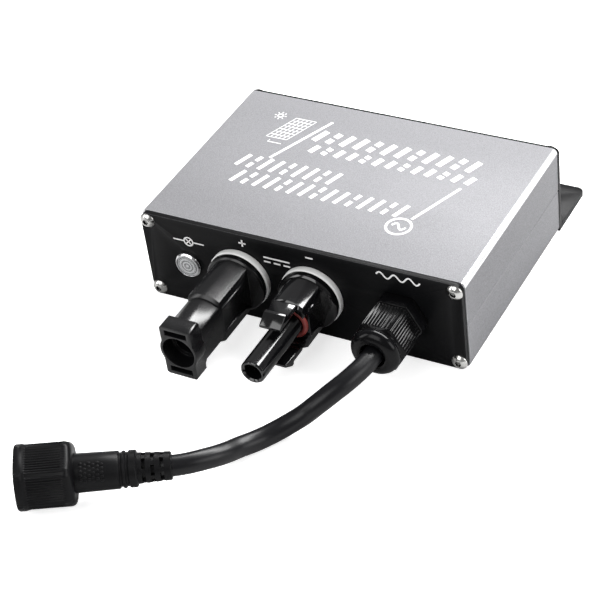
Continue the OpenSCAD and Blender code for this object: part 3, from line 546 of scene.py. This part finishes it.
def cap_shape(angle, number, height, radius):
    """Follows the hexagon and takes the grooves between the ribs out."""
    _, plain, follow, rib = cap_rings[number]
    hexed = hex_reach(angle, cap_across, 0, cap_corner) - cap_across / 2 + plain
    reach = plain + follow * (hexed - plain)
    if rib:
        reach -= rib * (1 - ribs_on(angle, cap_across, 0, cap_ribs, cap_ribbed_half))
    return reach


gland_cap = turned("gland_cap_nut", [r[:2] for r in cap_rings], cap_shape, sides=528,
                   at=on_face(gland_x, axis_z))
softened(gland_cap, 0, smooth=40)
gland_cap.data.materials.append(cap_nylon)
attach(gland_cap, "case")
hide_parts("gland_cap")


def eased(node, width, finish, smooth=35):
    """A detailed copy of a frame node with its sharp edges rounded. It takes the node's place."""
    source = nodes[node]
    piece = bpy.data.objects.new(node + "_finished", source.data.copy())
    bpy.context.scene.collection.objects.link(piece)
    piece.data.materials.clear()
    piece.data.materials.append(finish)
    bpy.ops.object.select_all(action="DESELECT")
    piece.select_set(True)
    bpy.context.view_layer.objects.active = piece
    bpy.ops.object.mode_set(mode="EDIT")
    bpy.ops.mesh.select_all(action="SELECT")
    bpy.ops.mesh.remove_doubles(threshold=2e-6)
    bpy.ops.mesh.dissolve_limited(angle_limit=math.radians(0.5))
    bpy.ops.object.mode_set(mode="OBJECT")
    softened(piece, width, smooth)
    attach(piece, source["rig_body"])
    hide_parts(node)


eased("gland_body", 0.3, cap_nylon)


# ---- Case -----------------------------------------------------------------------------------
# Two extruded half shells, bead blasted and anodised silver. The long upper edges are cut
#  bright after blasting, and their lighter colour also paints the highlight along them.

silver, tree, shader, paint = surface(
    "anodised_silver", (0.22, 0.22, 0.23), 0.56, 0.62, metal=0.45, specular=0.2, grain_scale=3200,
    grain_depth=0.05, fleck=0.26, edge=(0.8, 0.8, 0.82), edge_amount=0.5, smudge_scale=25)
cut_beyond, cut_above = 60.6 * MM, 34.1 * MM
place = placed(tree, "ShaderNodeSeparateXYZ",
               Vector=placed(tree, "ShaderNodeTexCoord").outputs["Object"])
across = worked(tree, "ABSOLUTE", place.outputs["X"])
out_far = worked(tree, "GREATER_THAN", across, cut_beyond)
high_up = worked(tree, "GREATER_THAN", place.outputs["Z"], cut_above)
cut_edge_and_sheen = worked(tree, "MULTIPLY", out_far, high_up)
# Painted highlight, with the bright cut: the long upper edges turn lighter and glossier.
tree.links.new(blended(tree, cut_edge_and_sheen, paint, (0.78, 0.78, 0.79)), shader.inputs["Base Color"])
edge_gloss = placed(tree, "ShaderNodeMapRange", Value=cut_edge_and_sheen,
                    To_Min=shader.inputs["Roughness"].links[0].from_socket, To_Max=0.22)
tree.links.new(edge_gloss.outputs[0], shader.inputs["Roughness"])
for node in ("upper_shell", "lower_shell"):
    eased(node, 0.12, silver)


# ---- End plates -----------------------------------------------------------------------------
# Black anodised aluminium plates that close both ends of the case, each held by four screws.
# The rear one is bent into the mounting foot with its two holes.

black_plate, *_ = surface("black_plate", (0.0035, 0.0035, 0.004), 0.34, 0.44, specular=0.1,
                          grain_scale=1800, grain_depth=0.03, edge=(0.12, 0.12, 0.125),
                          edge_amount=0.5)
for node in ("front_plate", "rear_plate"):
    eased(node, 0.25, black_plate)


# ---- Fasteners and light --------------------------------------------------------------------
# Stainless button-head screws that hold the plates. The status light is a ribbed clear lens in a
# polished ring, which a nut behind the plate holds.

# Painted shade, with dirt, darkens recesses such as the screws' sockets.
steel, *_ = surface("stainless_steel", (0.62, 0.615, 0.6), 0.16, 0.3, metal=1.0, grain_scale=900,
                    grain_depth=0.03, fleck=0.05, edge=(0.85, 0.84, 0.82), smudge_scale=300,
                    dirt_and_shade=1.0)
for node in ("front_screws", "rear_screws"):
    eased(node, 0.12, steel, smooth=50)

chrome, *_ = surface("polished_ring", (0.78, 0.78, 0.79), 0.08, 0.18, metal=1.0,
                     grain_scale=700, grain_depth=0.01, fleck=0.03)
eased("status_bezel", 0.12, chrome, smooth=50)


# ---- Solar connectors -----------------------------------------------------------------------
# Black nylon housings with white sealing washers. One ends in a slotted mouth, the other in a
# bare nose with a red sealing ring and two snap arms.

washer, *_ = surface("white_nylon", (0.86, 0.86, 0.85), 0.4, 0.5, grain_scale=1500, fleck=0.03,
                     edge=(0.9, 0.9, 0.9))
satin, *_ = surface("satin_black_nylon", (0.0035, 0.0035, 0.004), 0.2, 0.28, specular=0.42,
                    grain_scale=1700, grain_depth=0.012, edge_amount=0.4)
red, *_ = surface("red_silicone", (0.2, 0.03, 0.025), 0.38, 0.5, grain_scale=1500)
for node in ("plus_washer", "minus_washer"):
    eased(node, 0.15, washer)
eased("plus_housing", 0.28, satin)
eased("minus_housing", 0.22, gloss)
for node in ("minus_latch_upper", "minus_latch_lower"):
    eased(node, 0.2, gloss)
eased("minus_seal_ring", 0, red, smooth=60)


# ---- Printed marks --------------------------------------------------------------------------
# White screen-printed ink, a few hundredths of a millimetre thick. The lid carries a panel and
# sun sign, rows of slanted bars and an AC source sign. The face carries the sign of each outlet.

ink, *_ = surface("white_print", (0.8, 0.8, 0.8), 0.45, 0.6, grain_scale=3500, grain_depth=0.03,
                  fleck=0.08, edge_amount=0)
ink_depth, ink_hold = 0.05, 0.02


def stroke(points, width):
    """A strip of ink along points on the printed face. All measures are in millimetres."""
    steps = len(points) - 1
    bpy.ops.mesh.primitive_grid_add(x_subdivisions=steps, y_subdivisions=1, size=1)
    strip = bpy.context.object
    closed = points[0] == points[-1]
    for k, (x, y) in enumerate(points):
        ahead = points[k + 1] if k < steps else points[1] if closed else points[k]
        behind = points[k - 1] if k else points[-2] if closed else points[k]
        way = Vector((ahead[0] - behind[0], ahead[1] - behind[1], 0)).normalized()
        side = Vector((-way.y, way.x, 0)) * width / 2
        strip.data.vertices[k].co = (Vector((x, y, -ink_hold)) - side) * MM
        strip.data.vertices[k + steps + 1].co = (Vector((x, y, -ink_hold)) + side) * MM
    return strip


def hoop(x, y, radius):
    """The points of a closed circle."""
    sides = 36
    turns = [2 * math.pi * (k % sides) / sides for k in range(sides + 1)]
    return [(x + radius * math.cos(a), y + radius * math.sin(a)) for a in turns]


def wave(x, y, length, height, periods):
    """The points of a sine wave that starts at (x, y)."""
    steps = 16 * periods
    return [(x + length * k / steps, y + height * math.sin(2 * math.pi * periods * k / steps))
            for k in range(steps + 1)]


def printed(name, strips, at):
    """Joins strips of ink into one piece on a face of the case."""
    bpy.ops.object.select_all(action="DESELECT")
    for strip in strips:
        strip.select_set(True)
    bpy.context.view_layer.objects.active = strips[0]
    bpy.ops.object.join()
    piece = bpy.context.object
    piece.name = name
    piece.data.transform(at)
    bpy.ops.object.mode_set(mode="EDIT")
    bpy.ops.mesh.select_all(action="SELECT")
    bpy.ops.mesh.remove_doubles(threshold=1e-6)
    bpy.ops.object.mode_set(mode="OBJECT")
    layer = piece.modifiers.new("ink", "SOLIDIFY")
    layer.thickness = (ink_depth + ink_hold) * MM
    layer.offset = 1
    bpy.ops.object.modifier_apply(modifier=layer.name)
    piece.data.materials.append(ink)
    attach(piece, "case")


def bars(first, last, low, high, width, pitch, lean):
    """A row of slanted bars between two places across the lid. Every third one is split."""
    row = []
    for k in range(int((last - first - lean) / pitch) + 1):
        x = first + k * pitch
        for start, end in ((0, 0.4), (0.6, 1)) if k % 3 == 1 else ((0, 1),):
            row.append(stroke([(x + lean * start, low + (high - low) * start),
                               (x + lean * end, low + (high - low) * end)], width))
    return row


lid = Matrix.Translation((0, 0, 36 * MM))
panel_low, panel_high, panel_wide, panel_lean = 14.3, 28.1, 8.4, 5.3
panel_left, panel_columns, panel_rows, panel_line = -41.2, 5, 7, 0.28
panel_tall = panel_high - panel_low
sun_x, sun_y, sun_rays = -42.4, 27.8, 8
strips = []
for k in range(panel_columns + 1):
    x = panel_left + panel_wide * k / panel_columns
    strips.append(stroke([(x, panel_low), (x + panel_lean, panel_high)], panel_line))
for k in range(panel_rows + 1):
    x, y = panel_left + panel_lean * k / panel_rows, panel_low + panel_tall * k / panel_rows
    strips.append(stroke([(x, y), (x + panel_wide, y)], panel_line))
strips.append(stroke([(-38.8, 12.6), (-39.2, 11.4), (-33.6, 11.4)], 0.4))
strips.append(stroke(hoop(sun_x, sun_y, 1.0), 0.45))
for k in range(sun_rays):
    ray_turn = 2 * math.pi * k / sun_rays
    strips.append(stroke([(sun_x + reach * math.cos(ray_turn), sun_y + reach * math.sin(ray_turn))
                          for reach in (1.7, 2.4)], 0.4))
# Two long slanted lines set the words apart from the signs.
strips.append(stroke([(-33.3, 2.3), (-21.6, 29.8)], 1.1))
strips.append(stroke([(30.9, -14.3), (39.5, 7.4)], 1.1))
strips += bars(-23.2, 44, 17.2, 23.8, 2.4, 5.5, 2.6)
strips += bars(-21.2, 46, 10.2, 14.6, 2.2, 5.1, 1.8)
strips += bars(-43.2, 0.5, -5.4, 1.8, 1.6, 4.6, 2.6)
strips += bars(-40.2, 29.5, -14.8, -7.6, 1.6, 4.6, 2.6)
source_x, source_y, wave_wide = 28.4, -19.4, 5.2
strips.append(stroke(hoop(source_x, source_y, 4.4), 0.9))
strips.append(stroke(wave(source_x - wave_wide / 2, source_y, wave_wide, 1.5, 1), 0.8))
printed("lid_print", strips, lid)

# Along the face: a lamp sign, a plus, a direct current sign, a minus and a sine wave.
lamp_x, lamp_z, lamp_r = -42.9, 27.6, 1.75
lamp_arm = lamp_r / math.sqrt(2)
strips = [
    stroke(hoop(lamp_x, lamp_z, lamp_r), 0.5),
    stroke([(lamp_x - lamp_arm, lamp_z - lamp_arm), (lamp_x + lamp_arm, lamp_z + lamp_arm)], 0.45),
    stroke([(lamp_x - lamp_arm, lamp_z + lamp_arm), (lamp_x + lamp_arm, lamp_z - lamp_arm)], 0.45),
    stroke([(-49.1, lamp_z), (lamp_x - lamp_r, lamp_z)], 0.5),
    stroke([(lamp_x + lamp_r, lamp_z), (-36.7, lamp_z)], 0.5),
    stroke([(-22.0, 32.6), (-19.2, 32.6)], 0.6),
    stroke([(-20.6, 31.2), (-20.6, 34.0)], 0.6),
    stroke([(4.0, 33.0), (6.8, 33.0)], 0.6),
    stroke([(-12.7, 28.8), (-2.5, 28.8)], 0.65),
]
for dash in ((-12.7, -10.1), (-8.9, -6.3), (-5.1, -2.5)):
    strips.append(stroke([(x, 27.0) for x in dash], 0.65))
strips.append(stroke(wave(30.6, 33.2, 16, 1.1, 3), 0.6))
printed("face_print", strips, on_face(0, 0))


# ---- Everything inside ----------------------------------------------------------------------
# Gaskets, nuts, contacts, leads, the board and what it carries. These frame nodes keep their
# shapes, and each gets its own finish.

def plain_nodes(finish, *names):
    """Gives frame nodes their finish."""
    for name in names:
        nodes[name].data.materials.clear()
        nodes[name].data.materials.append(finish)


rubber, *_ = surface("black_rubber", (0.02, 0.02, 0.02), 0.55, 0.7)
plain_nodes(rubber, "front_gasket", "rear_gasket", "gland_seal", "ac_plug_seal")
plain_nodes(steel, "status_nut", "clamp_bar", "clamp_screws")
tin, *_ = surface("tinned_copper", (0.74, 0.73, 0.68), 0.2, 0.35, metal=1.0)
plain_nodes(tin, "status_leads", "plus_contact", "minus_contact", "fuse_clips")
plain_nodes(satin, "plus_lock_nut", "minus_lock_nut", "gland_lock_nut", "ac_plug_insert",
            "transformer_bobbin")
# The lens has fine rings moulded round its middle. Their glints are painted as lighter rings in
# its colour, and its rim is painted light as a highlight.
status_x, lens_ring_pitch = -44.2 * MM, 1.25 * MM
lens, tree, shader, paint = surface("clear_lens", (0.16, 0.165, 0.17), 0.08, 0.16,
                                    grain_depth=0.0, edge=(0.8, 0.8, 0.8), edge_amount=1.0)
place = placed(tree, "ShaderNodeSeparateXYZ",
               Vector=placed(tree, "ShaderNodeTexCoord").outputs["Object"])
sideways = worked(tree, "SUBTRACT", place.outputs["X"], status_x)
upwards = worked(tree, "SUBTRACT", place.outputs["Z"], axis_z)
squares = worked(tree, "ADD", worked(tree, "MULTIPLY", sideways, sideways),
                 worked(tree, "MULTIPLY", upwards, upwards))
from_centre = worked(tree, "SQRT", squares)
rings = worked(tree, "SINE",
               worked(tree, "MULTIPLY", from_centre, 2 * math.pi / lens_ring_pitch))
ring_glints = worked(tree, "GREATER_THAN", rings, 0.1)
tree.links.new(blended(tree, ring_glints, paint, (0.62, 0.63, 0.64)), shader.inputs["Base Color"])
shader.inputs["Transmission Weight"].default_value = 0.15
plain_nodes(lens, "status_lens")
for name, colour, low, high, metal, names in (
    ("lamp_body", (0.8, 0.84, 0.78), 0.1, 0.2, 0, ("status_led",)),
    ("red_wire", (0.5, 0.02, 0.02), 0.35, 0.45, 0, ("plus_lead",)),
    ("black_wire", (0.02, 0.02, 0.02), 0.35, 0.45, 0, ("minus_lead",)),
    ("brass_pins", (0.8, 0.6, 0.25), 0.18, 0.3, 1, ("ac_plug_pins",)),
    ("green_board", (0.02, 0.17, 0.06), 0.25, 0.35, 0, ("main_board",)),
    ("dark_sleeve", (0.02, 0.03, 0.06), 0.25, 0.35, 0, ("input_capacitors",)),
    ("grey_ferrite", (0.06, 0.06, 0.065), 0.5, 0.65, 0, ("transformer_core",)),
    ("green_ferrite", (0.03, 0.18, 0.08), 0.35, 0.5, 0, ("choke_core",)),
    ("copper_wire", (0.75, 0.32, 0.14), 0.22, 0.35, 1, ("transformer_winding", "choke_winding")),
    ("bare_aluminium", (0.7, 0.71, 0.72), 0.3, 0.42, 1, ("heat_spreader",)),
    ("grey_pad", (0.33, 0.36, 0.4), 0.6, 0.75, 0, ("thermal_pad",)),
    ("epoxy_black", (0.014, 0.014, 0.015), 0.4, 0.55, 0, ("power_transistors", "control_chips")),
    ("yellow_box", (0.7, 0.43, 0.04), 0.3, 0.42, 0, ("film_capacitors",)),
    ("blue_box", (0.03, 0.13, 0.42), 0.25, 0.35, 0, ("relay", "varistor")),
    ("white_ceramic", (0.8, 0.78, 0.72), 0.25, 0.35, 0, ("fuse",)),
    ("green_terminal", (0.05, 0.32, 0.1), 0.35, 0.45, 0, ("terminal_block",)),
    ("brown_wire", (0.14, 0.06, 0.02), 0.35, 0.45, 0, ("live_lead",)),
    ("blue_wire", (0.02, 0.08, 0.33), 0.35, 0.45, 0, ("neutral_lead",)),
    ("green_wire", (0.08, 0.28, 0.05), 0.35, 0.45, 0, ("earth_lead",)),
):
    finish, *_ = surface(name, colour, low, high, metal=metal)
    plain_nodes(finish, *names)
